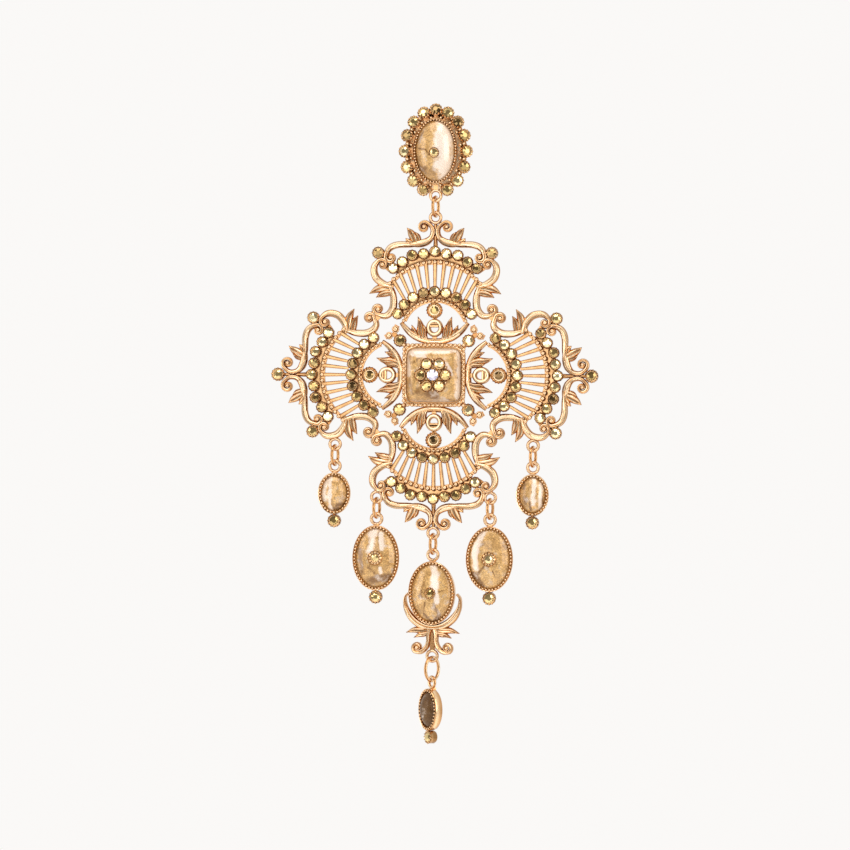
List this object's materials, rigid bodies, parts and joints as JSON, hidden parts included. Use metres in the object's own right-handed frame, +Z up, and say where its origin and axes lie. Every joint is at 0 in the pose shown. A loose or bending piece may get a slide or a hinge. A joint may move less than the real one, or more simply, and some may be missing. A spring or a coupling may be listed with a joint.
{
  "type": "chandelier earring",
  "caption": "Chandelier drop earring: an oval cabochon stud carries a large pierced cross of filigree with set stones, hung with oval cabochon drops.",
  "frame": {"origin": "where the ear post meets the flat back of the stud, which is the face against the ear lobe", "axes": "+Z up, the earring hangs down along -Z, faces -Y, and the post points along +Y"},
  "size_m": [0.0562, 0.0158, 0.1091],
  "materials": {
    "gold": "polished pale rose gold plating",
    "cabochon": "glossy, opaque, with gold flakes",
    "stone": "mirror-backed, faceted, golden",
    "clear_stone": "clear, faceted"
  },
  "bodies": {
    "stud": {"stud_setting": "gold", "stud_cabochon": "cabochon", "stud_centre_stone": "stone"},
    "link": {"top_ring": "gold"},
    "pendant": {"cross_frame": "gold", "centre_cabochon": "cabochon", "centre_flower": "clear_stone", "top_outer_stones": "stone", "top_inner_stones": "stone", "top_lens_stone": "stone", "top_diagonal_stone": "stone", "right_outer_stones": "stone", "right_inner_stones": "stone", "right_lens_stone": "stone", "right_diagonal_stone": "stone", "bottom_outer_stones": "stone", "bottom_inner_stones": "stone", "bottom_lens_stone": "stone", "bottom_diagonal_stone": "stone", "left_outer_stones": "stone", "left_inner_stones": "stone", "left_lens_stone": "stone", "left_diagonal_stone": "stone", "top_first_corner_stone": "stone", "top_second_corner_stone": "stone", "right_first_corner_stone": "stone", "right_second_corner_stone": "stone", "left_first_corner_stone": "stone", "left_second_corner_stone": "stone", "right_tip_stone": "stone", "left_tip_stone": "stone", "left_small_ring": "gold", "left_small_setting": "gold", "left_small_cabochon": "cabochon", "left_small_end_stone": "stone", "right_small_ring": "gold", "right_small_setting": "gold", "right_small_cabochon": "cabochon", "right_small_end_stone": "stone"},
    "left_middle_drop": {"left_middle_ring": "gold", "left_middle_setting": "gold", "left_middle_cabochon": "cabochon", "left_middle_centre_stone": "stone", "left_middle_end_stone": "stone"},
    "right_middle_drop": {"right_middle_ring": "gold", "right_middle_setting": "gold", "right_middle_cabochon": "cabochon", "right_middle_centre_stone": "stone", "right_middle_end_stone": "stone"},
    "centre_drop": {"centre_ring": "gold", "centre_setting": "gold", "centre_drop_cabochon": "cabochon", "centre_drop_stone": "stone", "tail_ring": "gold", "tail_setting": "gold", "tail_cabochon": "cabochon", "tail_end_stone": "stone"}
  },
  "joints": [
    {"name": "link_swing", "type": "hinge", "parent": "stud", "child": "link", "pos_m": [0, -0.0008, -0.00842], "axis": [1, 0, 0], "range_deg": [-40, 40]},
    {"name": "pendant_sway", "type": "hinge", "parent": "link", "child": "pendant", "pos_m": [0, -0.0008, -0.01103], "axis": [0, 1, 0], "range_deg": [-35, 35]},
    {"name": "left_middle_swing", "type": "hinge", "parent": "pendant", "child": "left_middle_drop", "pos_m": [-0.00974, -0.0008, -0.05992], "axis": [1, 0, 0], "range_deg": [-40, 40]},
    {"name": "right_middle_swing", "type": "hinge", "parent": "pendant", "child": "right_middle_drop", "pos_m": [0.00974, -0.0008, -0.05992], "axis": [1, 0, 0], "range_deg": [-40, 40]},
    {"name": "centre_swing", "type": "hinge", "parent": "pendant", "child": "centre_drop", "pos_m": [0, -0.0008, -0.06597], "axis": [1, 0, 0], "range_deg": [-40, 40]}
  ]
}
